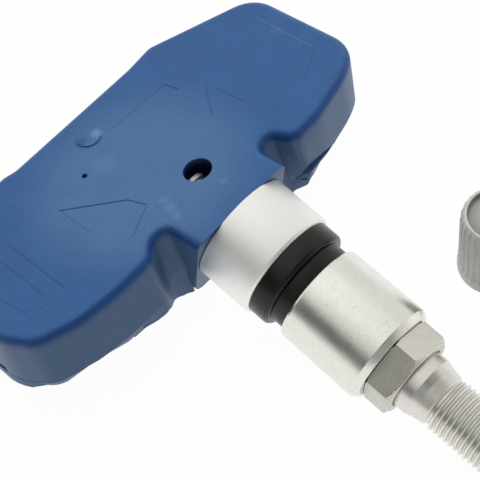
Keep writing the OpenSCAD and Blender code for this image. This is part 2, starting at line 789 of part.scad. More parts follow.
// Ribbed plastic cap, standing on its open end
module valve_cap()
    color([0.6, 0.61, 0.58]) on_table() difference() {
        union() {
            turned([
                [0, 0],
                [cap_d / 2 - 0.1, 0],
                [cap_d / 2, 0.3],
                [cap_d / 2 - 0.1, 1.7],
                [cap_d / 2 - 0.4, 2.2],
                [cap_d / 2 - 0.45, cap_h - 1.4],
                [cap_d / 2 - 0.55, cap_h - 0.5],
                [cap_d / 2 - 1, cap_h],
                [cap_d / 2 - 1.6, cap_h - 0.25],
                [cap_d / 2 - 1.8, cap_h - 0.6],
                [1.6, cap_h - 0.15],
                [0, cap_h]
            ]);
            for (i = [0:cap_ribs - 1])
                rotate([0, 0, 360 * i / cap_ribs]) translate([cap_d / 2 - 0.45, 0, 1.2])
                    cylinder(d = 0.5, h = cap_h - 2.4, $fn = 6);
        }
        translate([0, 0, -1]) cylinder(d = cap_thread_d + 0.1, h = cap_h - 0.8);
        translate([0, 0, -eps]) cylinder(d1 = cap_thread_d + 0.7, d2 = cap_thread_d + 0.1, h = 0.5);
    }

module cap_seal()
    color([0.12, 0.12, 0.12]) on_table() tube(cap_thread_d - 0.1, 3, cap_h - 3, cap_h - 1.8);

housing();
base_cover();
potting_bed();
circuit_board();
pressure_sensor();
sensor_port_seal();
control_chip();
transmitter_chip();
crystal_can();
wake_coil_core();
wake_coil_winding();
motion_switch();
antenna_loop();
capacitors();
battery_cell();
battery_tab_top();
battery_tab_bottom();
threaded_insert();
stem_seal();
valve_stem();
rubber_grommet();
clamp_sleeve();
hex_nut();
core_body();
core_gasket();
core_spring();
core_pin();
core_seal();
valve_cap();
cap_seal();
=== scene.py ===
import bpy
import bmesh
import math
from mathutils import Matrix, Vector


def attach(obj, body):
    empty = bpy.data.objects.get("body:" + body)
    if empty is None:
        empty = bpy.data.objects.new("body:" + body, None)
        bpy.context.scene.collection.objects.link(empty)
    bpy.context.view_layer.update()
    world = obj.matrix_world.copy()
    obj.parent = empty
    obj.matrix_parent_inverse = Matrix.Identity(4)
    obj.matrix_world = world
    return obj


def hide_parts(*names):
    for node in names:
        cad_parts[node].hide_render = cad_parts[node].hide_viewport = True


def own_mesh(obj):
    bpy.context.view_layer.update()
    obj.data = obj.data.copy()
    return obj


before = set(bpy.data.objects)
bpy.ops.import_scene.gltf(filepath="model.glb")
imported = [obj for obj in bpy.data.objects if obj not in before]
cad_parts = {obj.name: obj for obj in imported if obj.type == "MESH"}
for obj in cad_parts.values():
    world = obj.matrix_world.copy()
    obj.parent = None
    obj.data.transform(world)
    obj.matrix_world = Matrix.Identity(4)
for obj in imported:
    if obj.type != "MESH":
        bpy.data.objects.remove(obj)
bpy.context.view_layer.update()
print("sensor: frame loaded,", len(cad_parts), "solids")

mm = 0.001
lay = {  # how the sensor lies: the same values as the solids' source, in millimetres and degrees
    "tilt": 15.1365, "seatY": -17.4428, "seatZ": -10.8385,  # between the housing and the part's frame
    "dip": 24.0,  # the valve's slant against the housing's top
    "flangeEnd": 11.65,  # the rubber flange's outer face, along the valve
    "tableZ": -9.391,
}
housingTurn = math.radians(lay["tilt"])
valveTurn = math.radians(90 + lay["dip"] - lay["tilt"])
housingToRow = (Matrix.Rotation(-housingTurn, 4, "X")
                @ Matrix.Translation((0, -lay["seatY"] * mm, -lay["seatZ"] * mm)))
valveToRow = Matrix.Rotation(valveTurn, 4, "X") @ Matrix.Translation((0, 0, -lay["flangeEnd"] * mm))


# shader maths: a wire is one output socket, and a sum of wires adds its Math nodes
class Wire:
    def __init__(self, bench, socket):
        self.bench = bench
        self.socket = socket

    def math(self, operation, *others):
        values = dict(enumerate((self, *others)))
        return self.bench.add("ShaderNodeMath", {"operation": operation}, values)

    def __add__(self, other):
        return self.math("ADD", other)

    def __sub__(self, other):
        return self.math("SUBTRACT", other)

    def __rsub__(self, other):
        return self.math("SUBTRACT", other) * -1

    def __mul__(self, other):
        return self.math("MULTIPLY", other)

    __radd__ = __add__
    __rmul__ = __mul__

    def __abs__(self):
        return self.math("ABSOLUTE")

    def most(self, other):
        return self.math("MAXIMUM", other)

    def ramp(self, low, high):  # 0 at low, 1 at high, held outside
        return self.bench.add("ShaderNodeMapRange", {"clamp": True, "interpolation_type": "SMOOTHSTEP"},
                              {0: self, 1: low, 2: high, 3: 0.0, 4: 1.0})

    def output(self, name):  # another output of the same node
        return Wire(self.bench, self.socket.node.outputs[name])


# the nodes of one material, or of the world
class MaterialBench:
    def __init__(self, name="", tree=None):
        self.tree = tree
        if tree is None:
            self.material = bpy.data.materials.new(name)
            self.material.use_nodes = True
            self.tree = self.material.node_tree
            self.shader = self.tree.nodes["Principled BSDF"]

    def add(self, kind, settings, values, out=0):
        node = self.tree.nodes.new(kind)
        for key, value in settings.items():
            setattr(node, key, value)
        for key, value in values.items():
            self.plug(node.inputs[key], value)
        return Wire(self, node.outputs[out]) if len(node.outputs) else None

    def plug(self, socket, value):
        if isinstance(value, Wire):
            self.tree.links.new(value.socket, socket)
        elif isinstance(value, tuple) and len(value) == 3 and socket.type == "RGBA":
            socket.default_value = (*value, 1)
        else:
            socket.default_value = value

    def place(self, turn=0.0, shift=(0, 0, 0)):  # Object coordinates in millimetres, turned about X
        coords = self.add("ShaderNodeTexCoord", {}, {}, "Object")
        return self.add("ShaderNodeMapping", {"vector_type": "POINT"},
                        {"Vector": coords, "Location": shift, "Rotation": (turn, 0, 0),
                         "Scale": (1000, 1000, 1000)})

    def housingPlace(self):
        return self.place(housingTurn, (0, lay["seatY"], lay["seatZ"]))

    def valvePlace(self):
        return self.place(-valveTurn, (0, 0, lay["flangeEnd"]))

    def parts(self, vector):
        x = self.add("ShaderNodeSeparateXYZ", {}, {0: vector})
        return x, x.output("Y"), x.output("Z")

    def join(self, x, y, z):
        return self.add("ShaderNodeCombineXYZ", {}, {0: x, 1: y, 2: z})

    def away(self, x, y, px=0.0, py=0.0):  # the distance from a point
        dx, dy = x - px, y - py
        return (dx * dx + dy * dy).math("SQRT")

    def stroke(self, x, y, ends, width, past, short):  # 1 on the line between two points, 0 beside it
        ax, ay, bx, by = ends
        length = math.hypot(bx - ax, by - ay)
        ux, uy = (bx - ax) / length, (by - ay) / length
        along = (x - ax) * ux + (y - ay) * uy
        across = abs((x - ax) * uy - (y - ay) * ux)
        inside = abs(along - length / 2).ramp(length / 2 + past, length / 2 - short)
        return across.ramp(width, width * 0.4) * inside

    def noise(self, vector, scale, detail=3.0, roughness=0.5):
        return self.add("ShaderNodeTexNoise", {}, {"Vector": vector, "Scale": scale, "Detail": detail,
                                                   "Roughness": roughness})

    def mixColour(self, factor, first, second):
        return self.add("ShaderNodeMix", {"data_type": "RGBA", "clamp_factor": True},
                        {0: factor, 6: first, 7: second}, 2)

    def bump(self, height, strength, distance):
        return self.add("ShaderNodeBump", {}, {"Height": height, "Strength": strength, "Distance": distance})

    def finish(self, **sockets):
        for key, value in sockets.items():
            self.plug(self.shader.inputs[key.replace("_", " ")], value)
        return self.material


def linear(r, g, b):  # from the usual 0 to 255
    def one(c):
        c = c / 255
        return c / 12.92 if c <= 0.04045 else ((c + 0.055) / 1.055) ** 2.4
    return (one(r), one(g), one(b))


def tinted(colour, factor, lift=0.0):  # darker below 1, lighter above
    return tuple(min(1, c * factor + lift) for c in colour)


# mesh helpers
meshing = {
    "merge": 1e-7, "copyMerge": 2e-6,  # points closer than this become one, in metres
    "flatWithin": 0.6, "sliver": 1e-11, "areaPower": 1.5,  # one flat area: degrees, square metres, its weight
}


def meshPiece(name, bm, body, material, replaced=(), sharpAngle=35, move=None, copied=False):
    bmesh.ops.remove_doubles(bm, verts=bm.verts, dist=meshing["merge"])
    if not copied:
        bmesh.ops.recalc_face_normals(bm, faces=bm.faces)
    if move is not None:
        bmesh.ops.transform(bm, matrix=move, verts=bm.verts)
    mesh = bpy.data.meshes.new(name)
    bm.to_mesh(mesh)
    bm.free()
    mesh.shade_smooth()
    if copied:
        flatNormals(mesh, sharpAngle)
    else:
        mesh.set_sharp_from_angle(angle=math.radians(sharpAngle))
    piece = bpy.data.objects.new(name, mesh)
    bpy.context.scene.collection.objects.link(piece)
    mesh.materials.append(material)
    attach(piece, body)
    if replaced:
        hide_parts(*replaced)
    return piece


def spunSolid(profile, steps=128):  # (radius, height) in millimetres about Z: a loop, or from axis to axis
    bm = bmesh.new()
    points = [bm.verts.new((r * mm, 0, z * mm)) for r, z in profile]
    edges = [bm.edges.new((a, b)) for a, b in zip(points, points[1:])]
    if all(r > 0 for r, z in profile):
        edges.append(bm.edges.new((points[-1], points[0])))
    bmesh.ops.spin(bm, geom=points + edges, cent=(0, 0, 0), axis=(0, 0, 1), angle=2 * math.pi,
                   steps=steps, use_merge=True)
    bmesh.ops.remove_doubles(bm, verts=bm.verts, dist=meshing["merge"])
    return bm


def rounded(profile, corners, segments=5):  # rounds chosen corners of a profile, {index: radius}
    out = []
    for i, (r, z) in enumerate(profile):
        radius = corners.get(i, 0)
        if not radius:
            out.append((r, z))
            continue
        here = Vector((r, z))
        before = (Vector(profile[i - 1]) - here).normalized()
        after = (Vector(profile[(i + 1) % len(profile)]) - here).normalized()
        half = before.angle(after) / 2
        middle = here + (before + after).normalized() * radius / math.sin(half)
        spoke = here + before * radius / math.tan(half) - middle
        turn = spoke.angle_signed(here + after * radius / math.tan(half) - middle)
        for k in range(segments + 1):
            out.append(tuple(middle + Matrix.Rotation(-turn * k / segments, 2) @ spoke))
    return out


def setRadius(v, r):  # moves a point straight out from or in to Z, in millimetres
    angle = math.atan2(v.co.y, v.co.x)
    v.co.x, v.co.y = r * mm * math.cos(angle), r * mm * math.sin(angle)


def copiedSolid(node):  # a merged copy of a CAD solid's mesh
    bm = bmesh.new()
    bm.from_mesh(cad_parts[node].data)
    bmesh.ops.remove_doubles(bm, verts=bm.verts, dist=meshing["copyMerge"])
    return bm


def flatNormals(mesh, sharpAngle):  # each corner leans to the widest flat area that meets it
    bm = bmesh.new()
    bm.from_mesh(mesh)
    flat = math.radians(meshing["flatWithin"])
    group = {}
    areas = []
    for first in sorted(bm.faces, key=lambda f: -f.calc_area()):
        if first in group:
            continue
        group[first] = len(areas)
        total = 0.0
        waiting = [first]
        while waiting:
            face = waiting.pop()
            total += face.calc_area()
            for near in (f for e in face.edges for f in e.link_faces if f not in group):
                if near.calc_area() < meshing["sliver"] or near.normal.angle(first.normal, 0) < flat:
                    group[near] = len(areas)
                    waiting.append(near)
        areas.append((total, first.normal.copy()))
    limit = math.cos(math.radians(sharpAngle))
    normals = []
    for face in bm.faces:
        own = areas[group[face]][1]
        for vert in face.verts:
            mixed = Vector((0, 0, 0))
            for g in {group[f] for f in vert.link_faces}:
                area, way = areas[g]
                if way.dot(own) > limit:
                    mixed += way * area ** meshing["areaPower"]
            normals.append(mixed.normalized() if mixed.length > 0 else own)
    bm.free()
    mesh.normals_split_custom_set([tuple(n) for n in normals])


# finishes that several pieces share
turned = {
    "around": 0.06, "speckAlong": 0.55, "scuffScale": 0.7, "poreScale": 6.0, "pitScale": 1.3,
    "pits": 0.25, "pitTone": 0.6, "rootShade": 0.4, "rootShadeTone": 0.4, "satin": 0.9, "bump": 0.00005,
}
plain = {"cloudScale": 0.6, "grainScale": 6.0, "bump": 0.00004}


def turnedFinish(name, look):  # metal turned about the valve's axis
    bench = MaterialBench(name)
    here = bench.valvePlace()
    x, y, z = bench.parts(here)
    colour = look["colour"]
    ringPlace = bench.join(x * turned["around"], y * turned["around"], z * look["rings"])
    rings = bench.noise(ringPlace, 1.0, 3.0, 0.6)
    scuffs = bench.noise(here, turned["scuffScale"], 4.0, 0.6)
    pores = bench.noise(here, turned["poreScale"], 3.0, 0.7)
    pits = bench.noise(here, turned["pitScale"], 2.0, 0.5).ramp(0.66, 0.72) * turned["pits"]
    speckPlace = bench.join(x, y, z * turned["speckAlong"])
    specks = bench.noise(speckPlace, look["speckScale"], 3.0, 0.7).ramp(0.35, 0.68) * look["speck"]
    tone = bench.mixColour(scuffs.ramp(0.3, 0.7), tinted(colour, 1 - look["cloud"]), colour)
    tone = bench.mixColour(pits + specks, tone, tinted(colour, turned["pitTone"]))
    rough = scuffs * 0.12 + pores * 0.06 + (look["rough"] - 0.09)
    if "rootR" in look:  # painted shade in the roots of the thread
        rootShade = bench.away(x, y).ramp(look["crestR"], look["rootR"]) * turned["rootShade"]
        tone = bench.mixColour(rootShade, tone, tinted(colour, turned["rootShadeTone"]))
    if "satinEnd" in look:  # bead-blasted up to this height
        satin = z.ramp(look["satinEnd"] + 0.1, look["satinEnd"] - 0.1)
        tone = bench.mixColour(satin * turned["satin"], tone, look["satinColour"])
        rough = rough + satin * look["satinMore"]
    normal = bench.bump(rings * 0.6 + pores * look["pores"], look["depth"], turned["bump"])
    return bench.finish(Base_Color=tone, Metallic=1.0, Roughness=rough, Normal=normal)


def cloudAndGrain(bench, here):  # broad clouds and a fine grain
    return bench.noise(here, plain["cloudScale"], 4.0, 0.55), bench.noise(here, plain["grainScale"], 2.0, 0.6)


def plainFinish(name, colour, rough, metal=0.0, depth=0.2, vary=0.12, shine=0.5):
    bench = MaterialBench(name)
    cloud, grain = cloudAndGrain(bench, bench.place())
    tone = bench.mixColour(cloud.ramp(0.3, 0.7), tinted(colour, 1 - vary), tinted(colour, 1 + vary))
    normal = bench.bump(grain, depth, plain["bump"])
    return bench.finish(Base_Color=tone, Metallic=metal, Roughness=grain * 0.12 + (rough - 0.06),
                        Normal=normal, Specular_IOR_Level=shine)


# housing and cover
housing = {  # millimetres in the housing's own frame, whose top face is at 0
    # the cover's blue is lighter than the housing's blue: painted light against the shade near the floor
    "blue": linear(38, 86, 141), "coverLiftedBlue": linear(82, 113, 153), "rough": 0.34, "shine": 0.32,
    "grainDepth": 0.45,
    "cloudScale": 0.16, "grainScale": 4.5, "fleckScale": 4.4, "patchScale": 0.35,
    "sheenBlue": linear(68, 104, 148), "sheenReach": (-4.0, 6.0, 19.0),  # painted sheen, a lighter and greyer blue over the middle of the top: its place and reach
    # a deeper blue for painted shade on the rounded rim, and a greyer one for painted sheen on the walls
    "rimShadeBlue": linear(20, 66, 126), "wallSheenBlue": linear(82, 109, 140),
    "port": (1.0, 2.0), "portShadeBlue": linear(4, 20, 52),  # the port's place across and its radius, and the near-black painted shade in its hole
    # heights between which the top's marks, the rim's painted shade, the walls' painted sheen, the port
    # wall's painted shade and the disc's painted light and shade come in
    "topZ": (-0.25, -0.02), "rimShadeZ": (-0.04, -0.4), "wallSheenZ": (-0.9, -2.2), "portShadeZ": (-0.15, -1.2),
    "discZ": (-0.7, -0.45),
    # pale rubbed places: x, y, radius, strength
    "scuffBlue": linear(140, 162, 196),
    "scuffs": [
        (-5.14, 0.1, 1.1, 0.4), (-5.55, -1.6, 1.2, 0.45), (-5.99, -3.31, 1.0, 0.4),
        (-5.23, 11.84, 2.4, 0.25), (1.5, -4.6, 0.8, 0.3), (25.2, 8.6, 1.2, 0.2),
    ],
    # light and shade in the dished disc: x, y, radius, strength, colour
    "spots": [
        (-1.94, 17.11, 1.2, 0.55, linear(112, 146, 188)), (-4.29, 17.88, 1.3, 0.6, linear(22, 62, 116)),
    ],
    # engraved lines on the top face, darkened with painted shade in the grooves: x, y, x, y, half width,
    # strength
    "grooveShadeBlue": linear(10, 46, 110), "lineDepth": 4.0,
    "lines": [
        (-14.19, 11.27, -7.78, 4.39, 0.17, 0.95), (-7.78, 4.39, -7.0, 1.51, 0.15, 0.8),
        (-7.0, 1.51, -11.88, -0.91, 0.1, 0.6), (-14.19, 11.27, -14.37, 4.63, 0.08, 0.45),
        (9.46, 15.49, 9.93, 13.08, 0.15, 0.8), (9.46, 15.49, -0.45, 16.03, 0.12, 0.4),
        (12.61, 10.4, 9.01, 5.34, 0.13, 0.4), (12.8, 8.6, 13.1, 3.01, 0.13, 0.4),
        (19.79, -1.46, 25.37, 1.31, 0.07, 0.35), (-22.12, 12.73, -22.73, 0.3, 0.3, 0.28),
        (-24.61, 11.7, -25.07, 1.87, 0.3, 0.24), (-28.8, 6.76, -28.41, 2.07, 0.3, 0.22),
        (-28.41, 2.07, -25.57, 0.3, 0.2, 0.2), (25.41, 1.54, 20.23, -1.31, 0.12, 0.3),
    ],
    "paleBlue": linear(150, 168, 196), "paleLines": [(25.62, 13.25, 25.41, 1.54, 0.1, 0.3)],
    # the cover's cut beside the tongue: the gap that its solid has there, and what is left of it
    "tongueW": 16.2, "coverGap": 0.3, "coverGapLeft": 0.02,
    "flatWithin": 0.002, "near": 0.02,  # how closely the copied solids' points are picked
    "spike": (7.48, -9.52, 0), "spikeFoot": (6.9, -9.52, 0),  # a stray point of the copy, and its right place
    "web": [  # the corners of the web beside the tongue
        (12.28, -6.42, -9.9), (12.11, -6.22, -10.18), (11.44, -4.9, -9.3), (12.4, -5.95, -8.52),
        (12.9, -6.38, -8.55), (13.28, -6.48, -8.6), (13.49, -6.2, -9.58), (12.4, -4.2, -9.9),
        (13.5, -4.5, -9.6), (11.42, -4.8, -11.2),
    ],
}


def blueFinish(name, colour, markedAndShaded):  # moulded plastic, with the housing's own marks and its painted light and shade, or without
    bench = MaterialBench(name)
    here = bench.housingPlace()
    cloud = bench.noise(here, housing["cloudScale"], 4.0, 0.55)
    grain = bench.noise(here, housing["grainScale"], 3.0, 0.65)
    fleck = bench.noise(here, housing["fleckScale"], 2.0, 0.6).ramp(0.48, 0.72)
    patch = bench.noise(here, housing["patchScale"], 2.0, 0.5).ramp(0.5, 0.72)
    tone = bench.mixColour(cloud.ramp(0.3, 0.7), tinted(colour, 0.92), tinted(colour, 1.05))
    tone = bench.mixColour(grain.ramp(0.35, 0.7) * 0.6, tone, tinted(colour, 0.72))
    tone = bench.mixColour(fleck * (patch * 0.2 + 0.12), tone, tinted(colour, 1.2, 0.08))
    height = grain * 0.5 + fleck * 0.3
    if markedAndShaded:
        tone, grooves = housingMarksAndShading(bench, here, tone, cloud, grain, fleck)
        height = height - grooves * housing["lineDepth"]
    normal = bench.bump(height, housing["grainDepth"], 0.0001)
    return bench.finish(Base_Color=tone, Roughness=grain * 0.12 + housing["rough"], Normal=normal,
                        Specular_IOR_Level=housing["shine"])


def housingMarksAndShading(bench, here, tone, cloud, grain, fleck):
    x, y, z = bench.parts(here)
    sheenX, sheenY, sheenR = housing["sheenReach"]
    # painted sheen: the middle of the top is mixed towards a lighter, greyer blue
    sheen = bench.away(x, y, sheenX, sheenY).ramp(sheenR, sheenR * 0.45) * (cloud * 0.6 + 0.7)
    sheenTone = bench.mixColour(fleck * 0.7 + grain.ramp(0.3, 0.7) * 0.3, tinted(housing["sheenBlue"], 0.86),
                               tinted(housing["sheenBlue"], 1.35))
    tone = bench.mixColour(sheen * 0.9, tone, sheenTone)
    top = z.ramp(*housing["topZ"])
    rubbed = bench.noise(here, 4.0, 4.0, 0.75).ramp(0.35, 0.75)
    for px, py, radius, strength in housing["scuffs"]:
        scuff = bench.away(x, y, px, py).ramp(radius, radius * 0.2) * top * rubbed
        tone = bench.mixColour(scuff * strength, tone, housing["scuffBlue"])
    wallSheen = z.ramp(*housing["wallSheenZ"])  # painted sheen makes the walls greyer than the top, and painted shade makes its rounded rim a deeper blue
    tone = bench.mixColour(z.ramp(*housing["rimShadeZ"]) * (0.85 - wallSheen * 0.85), tone, housing["rimShadeBlue"])
    tone = bench.mixColour(wallSheen * 0.6, tone, housing["wallSheenBlue"])
    portX, portR = housing["port"]
    port = bench.away(x, y, portX).ramp(portR + 0.25, portR + 0.1)
    # painted shade: the port hole's wall is mixed towards a near-black blue
    tone = bench.mixColour(port * z.ramp(*housing["portShadeZ"]), tone, housing["portShadeBlue"])
    for px, py, radius, strength, spotColour in housing["spots"]:
        spot = bench.away(x, y, px, py).ramp(radius, radius * 0.25) * z.ramp(*housing["discZ"])
        tone = bench.mixColour(spot * strength, tone, spotColour)
    for *ends, width, strength in housing["paleLines"]:
        # paler strokes, broken by the grain
        paleStroke = bench.stroke(x, y, ends, width, 0, 0.2) * grain.ramp(0.4, 0.6)
        tone = bench.mixColour(paleStroke * strength, tone, housing["paleBlue"])
    grooves = None
    for *ends, width, strength in housing["lines"]:
        groove = bench.stroke(x, y, ends, width, 0.12, 0.12) * strength
        grooves = groove if grooves is None else grooves.most(groove)
    grooves = grooves * top
    # painted shade: the engraved grooves are mixed towards a darker blue
    return bench.mixColour(grooves, tone, housing["grooveShadeBlue"]), grooves


def housingCopy():  # its top face is filled again, because the copied one has folded triangles
    bm = copiedSolid("housing")
    level = housingToRow.inverted()
    top = {v for v in bm.verts if abs((level @ v.co).z) < housing["flatWithin"] * mm}
    folded = [f for f in bm.faces if all(v in top for v in f.verts)]
    bmesh.ops.delete(bm, geom=folded, context="FACES")
    foot = Vector(housing["spikeFoot"]) * mm
    ends = (Vector(housing["spike"]) * mm, foot)
    near = [v for v in bm.verts if min(((level @ v.co) - p).length for p in ends) < housing["near"] * mm]
    bmesh.ops.pointmerge(bm, verts=near, merge_co=housingToRow @ foot)
    bmesh.ops.dissolve_degenerate(bm, dist=meshing["merge"], edges=bm.edges)
    rims = [e for e in bm.edges if e.is_boundary]
    bmesh.ops.triangle_fill(bm, use_beauty=True, use_dissolve=False, edges=rims,
                            normal=housingToRow.to_3x3() @ Vector((0, 0, 1)))
    return bm


def coverCopy():  # the edges of its cut are drawn up to the tongue
    bm = copiedSolid("base_cover")
    tongue = housing["tongueW"] / 2
    for v in bm.verts:
        if abs(abs(v.co.x) - (tongue + housing["coverGap"]) * mm) < housing["near"] * mm:
            v.co.x = math.copysign((tongue + housing["coverGapLeft"]) * mm, v.co.x)
    return bm


def cornerWeb():  # joins the floor's deep middle to the short lobe, where the two meet in a slit
    bm = bmesh.new()
    for corner in housing["web"]:
        bm.verts.new(housingToRow @ (Vector(corner) * mm))
    made = bmesh.ops.convex_hull(bm, input=bm.verts)
    spare = set(made["geom_interior"]) | set(made["geom_unused"])
    bmesh.ops.delete(bm, geom=[g for g in spare if isinstance(g, bmesh.types.BMVert)], context="VERTS")
    return bm


housingBlue = blueFinish("housingBlue", housing["blue"], True)
# painted light: the cover and the corner web get the lighter blue
coverLiftedBlue = blueFinish("coverLiftedBlue", housing["coverLiftedBlue"], False)
meshPiece("housingShell", housingCopy(), "sensor", housingBlue, ["housing"], copied=True)
meshPiece("coverPlate", coverCopy(), "sensor", coverLiftedBlue, ["base_cover"], copied=True)
meshPiece("cornerWeb", cornerWeb(), "sensor", coverLiftedBlue, sharpAngle=50)
print("sensor: housing and cover done")

# valve stem: heights along the valve's axis, from the collar's back
stem = {
    "backEnd": -8.8,
    # the end that shows in the port: radius, height above the back end
    "head": [(0.8, 0.3), (1.05, 0), (1.75, 0), (1.95, 0.2), (1.7, 0.4), (1.95, 0.6), (1.5, 0.8)],
    "spigotR": 1.5, "rootR": 2.4, "rootEnd": -5.0, "collarR": 7.75, "collarL": 8.35,
    "nutThreadR": 4.5, "nutThreadEnd": 30.01, "nutThreadChamfer": 0.15, "shankR": 4.32, "shankEnd": 32.01,
    "reliefR": 4.02, "coneEnd": 33.01, "neckDrop": 0.25, "neckEnd": 34.61,
    "threadStart": 34.71, "threadRise": 0.25, "threadR": 3.85, "threadDepth": 0.42, "tip": 48.51,
    "tipChamfer": 0.45, "mouthR": 3.0, "mouthChamfer": 0.35,
    "bore": [(2.65, 42.1), (2.3, 41.2), (2.3, 32.41), (0.8, 31.2)],  # radius, height, from the mouth inwards
    "corners": {10: 0.2, 11: 0.5, 15: 0.5, 16: 0.4},  # rounded points of the profile
    "metal": {
        "colour": linear(228, 226, 219), "rough": 0.3, "rings": 6.0, "depth": 0.3, "pores": 0.5,
        "cloud": 0.06, "speck": 0.1, "speckScale": 3.0,
        "satinEnd": 8.6, "satinMore": 0.2, "satinColour": linear(252, 251, 248),
    },
}
threadRootR = stem["threadR"] - stem["threadDepth"]
coreR = stem["bore"][0][0]
stemProfile = [(r, stem["backEnd"] + z) for r, z in stem["head"]] + [
    (stem["spigotR"], stem["rootEnd"]), (stem["rootR"], stem["rootEnd"]), (stem["rootR"], 0),
    (stem["collarR"], 0), (stem["collarR"], stem["collarL"]), (stem["nutThreadR"], stem["collarL"]),
    (stem["nutThreadR"], stem["nutThreadEnd"]),
    (stem["shankR"], stem["nutThreadEnd"] + stem["nutThreadChamfer"]), (stem["shankR"], stem["shankEnd"]),
    (stem["reliefR"], stem["coneEnd"]), (stem["reliefR"] - stem["neckDrop"], stem["neckEnd"]),
    (threadRootR, stem["threadStart"] + stem["threadRise"]),
    (threadRootR, stem["tip"] - stem["tipChamfer"]), (stem["mouthR"], stem["tip"]),
    (coreR, stem["tip"] - stem["mouthChamfer"]),
] + stem["bore"]
meshPiece("valveStem", spunSolid(rounded(stemProfile, stem["corners"]), 144), "sensor",
          turnedFinish("stemMetal", stem["metal"]), ["valve_stem"], 32, valveToRow)

# the cap thread, a real helix on the stem's tip
thread = {
    "pitch": 0.8, "sunk": 0.1, "crestDrop": 0.03,  # sunk: how far the tooth's foot lies inside the stem
    "footHalf": 0.47, "crestHalf": 0.09,  # half widths, in pitches
    "lead": 0.15, "tail": 0.35, "steps": 48,
    "runIn": (-0.2, 0.9), "runOut": (0.1, 1.1),  # start over the root, and rise in each millimetre
    "metal": {
        "colour": linear(240, 239, 230), "rough": 0.36, "rings": 6.0, "depth": 0.2, "pores": 0.5,
        "cloud": 0.08, "speck": 0.08, "speckScale": 3.0,
        "rootR": threadRootR + 0.05, "crestR": stem["threadR"] - 0.05,
    },
}


def capThread():  # one tooth's outline, spun along the helix
    bm = bmesh.new()
    pitch, crest, foot = thread["pitch"], stem["threadR"], threadRootR - thread["sunk"]
    start = stem["threadStart"] + thread["lead"]
    turns = int((stem["tip"] - thread["tail"] - start) / pitch)
    wide, narrow, low = thread["footHalf"] * pitch, thread["crestHalf"] * pitch, crest - thread["crestDrop"]
    tooth = [(foot, -wide), (low, -narrow), (crest, 0), (low, narrow), (foot, wide)]
    verts = [bm.verts.new((r * mm, 0, (start + pitch / 2 + z) * mm)) for r, z in tooth]
    face = bm.faces.new(verts)
    bmesh.ops.spin(bm, geom=[face], cent=(0, 0, 0), axis=(0, 0, 1), dvec=(0, 0, pitch * mm / thread["steps"]),
                   angle=2 * math.pi * turns, steps=thread["steps"] * turns, use_merge=False)
    inR, inRise = thread["runIn"]
    outR, outRise = thread["runOut"]
    for v in bm.verts:  # the thread runs out at both ends
        z = v.co.z / mm
        limit = min(threadRootR + inR + max(0, z - start) * inRise,
                    threadRootR + outR + max(0, stem["tip"] - z) * outRise)
        if math.hypot(v.co.x, v.co.y) / mm > limit:
            setRadius(v, limit)
    return bm


meshPiece("capThread", capThread(), "sensor", turnedFinish("threadMetal", thread["metal"]),
          sharpAngle=50, move=valveToRow)
print("sensor: stem done")

# rubber flange and neck
rubber = {
    "flangeR": 7.3, "flangeT": 3.3, "dish": 0.35, "neckR": 6.3, "neckL": 3.9, "neckIn": 0.4,
    "neckTaper": 0.5, "boreR": 4.55, "gap": 0.01, "corners": {1: 0.12, 2: 0.7, 3: 0.15},
    "colour": linear(13, 13, 11),
}
flangeBack = stem["collarL"] + rubber["gap"]
flangeFront = stem["collarL"] + rubber["flangeT"]
neckFront = flangeFront + rubber["neckL"]
grommet = rounded([
    (rubber["boreR"], flangeBack), (rubber["flangeR"], flangeBack), (rubber["flangeR"], flangeFront),
    (rubber["neckR"], flangeFront - rubber["dish"]), (rubber["neckR"], neckFront - rubber["neckTaper"]),
    (rubber["neckR"] - rubber["neckIn"], neckFront), (rubber["boreR"], neckFront),
], rubber["corners"])
meshPiece("rubberGrommet", spunSolid(grommet), "sensor",
          plainFinish("grommetRubber", rubber["colour"], 0.27, depth=0.3, vary=0.18, shine=0.33),
          ["rubber_grommet"], 40, valveToRow)

# clamp sleeve
sleeve = {
    "start": 13.5, "end": 26.4, "mouthR": 7.0, "mouthIn": 0.15, "mouthTaper": 0.35, "endR": 7.15,
    "faceR": 6.451, "faceDrop": 0.95, "cupR": 6.5, "cupEnd": 16.75, "boreR": 4.56,
    "corners": {1: 0.1, 2: 0.3, 3: 0.12},
    "metal": {
        "colour": linear(236, 235, 228), "rough": 0.22, "rings": 5.0, "depth": 0.28, "pores": 0.9,
        "cloud": 0.05, "speck": 0.14, "speckScale": 3.2,
    },
}
sleeveProfile = rounded([
    (sleeve["cupR"], sleeve["start"]), (sleeve["mouthR"] - sleeve["mouthIn"], sleeve["start"]),
    (sleeve["mouthR"], sleeve["start"] + sleeve["mouthTaper"]),
    (sleeve["endR"], sleeve["end"] - sleeve["faceDrop"]), (sleeve["faceR"], sleeve["end"]),
    (sleeve["boreR"], sleeve["end"]), (sleeve["boreR"], sleeve["cupEnd"]), (sleeve["cupR"], sleeve["cupEnd"]),
], sleeve["corners"])
meshPiece("clampSleeve", spunSolid(sleeveProfile, 144), "sleeve",
          turnedFinish("sleeveMetal", sleeve["metal"]), ["clamp_sleeve"], 30, valveToRow)

# hex nut, with its corners turned off at both ends
nut = {
    "af": 11.0, "start": 26.46, "height": 3.9, "turn": 35.0, "boreR": 4.56, "steps": 180, "levels": 26,
    # the turned cones: how far their rim lies past the flats, their length, and how far they pass the corners
    "backCone": (0.45, 0.22), "frontCone": (-0.1, 0.66), "coneOver": 0.1,
    "colour": linear(228, 226, 216), "rough": 0.28, "depth": 0.5,
    "wavePitch": 0.25, "waveStray": 1.5, "smoothFrom": 0.1, "smoothTo": 0.06,  # within the smoother flats
}


